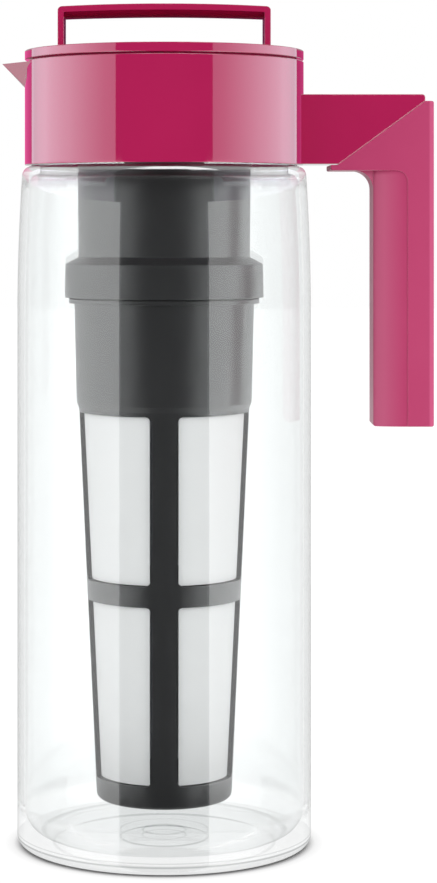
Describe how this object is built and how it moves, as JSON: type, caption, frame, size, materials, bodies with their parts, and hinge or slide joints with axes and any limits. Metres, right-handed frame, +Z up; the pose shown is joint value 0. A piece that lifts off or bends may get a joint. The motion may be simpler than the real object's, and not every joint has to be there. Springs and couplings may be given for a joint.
{
  "type": "iced tea maker",
  "caption": "Tall clear jug with a spouted handle collar, a turning pour-through lid with a carry loop, and a hanging fine-mesh infuser.",
  "frame": {"origin": "on the table, under the middle of the outline from the spout's tip to the back of the grip; the jug's own axis is 19.1 mm towards -X from it", "axes": "+Z up, +X towards the handle, -X towards the spout, -Y towards the viewer of the picture"},
  "size_m": [0.1566, 0.1072, 0.3051],
  "materials": {
    "clear_plastic": "clear polished copolyester",
    "raspberry_gloss": "smooth glossy moulding",
    "raspberry_soft": "soft satin over-mould",
    "graphite": "smooth dark moulding",
    "mesh": "fine white woven filter mesh",
    "seal": "pale silicone"
  },
  "bodies": {
    "jug": {"pitcher_body": "clear_plastic", "neck_seal": "seal", "handle_collar": "raspberry_gloss", "grip_sleeve": "raspberry_soft"},
    "lid_seal": {"lid_gasket": "seal"},
    "lid": {"lid_cap": "raspberry_gloss", "carry_loop": "raspberry_gloss", "lid_plug": "raspberry_gloss"},
    "infuser_tube": {"infuser_extension": "graphite"},
    "basket": {"infuser_basket": "graphite", "mesh_upper_1": "mesh", "mesh_upper_2": "mesh", "mesh_upper_3": "mesh", "mesh_upper_4": "mesh", "mesh_lower_1": "mesh", "mesh_lower_2": "mesh", "mesh_lower_3": "mesh", "mesh_lower_4": "mesh"}
  },
  "joints": [
    {"name": "lid_lift", "type": "slide", "parent": "jug", "child": "lid_seal", "axis": [0, 0, 1], "range_m": [0, 0.275]},
    {"name": "lid_turn", "type": "hinge", "parent": "lid_seal", "child": "lid", "pos_m": [-0.0191, 0, 0.285], "axis": [0, 0, 1], "range_deg": [0, 90]},
    {"name": "infuser_turn", "type": "hinge", "parent": "lid", "child": "infuser_tube", "pos_m": [-0.0191, 0, 0.27], "axis": [0, 0, 1], "range_deg": [0, 120]},
    {"name": "basket_turn", "type": "hinge", "parent": "infuser_tube", "child": "basket", "pos_m": [-0.0191, 0, 0.1985], "axis": [0, 0, 1], "range_deg": [0, 120]}
  ]
}
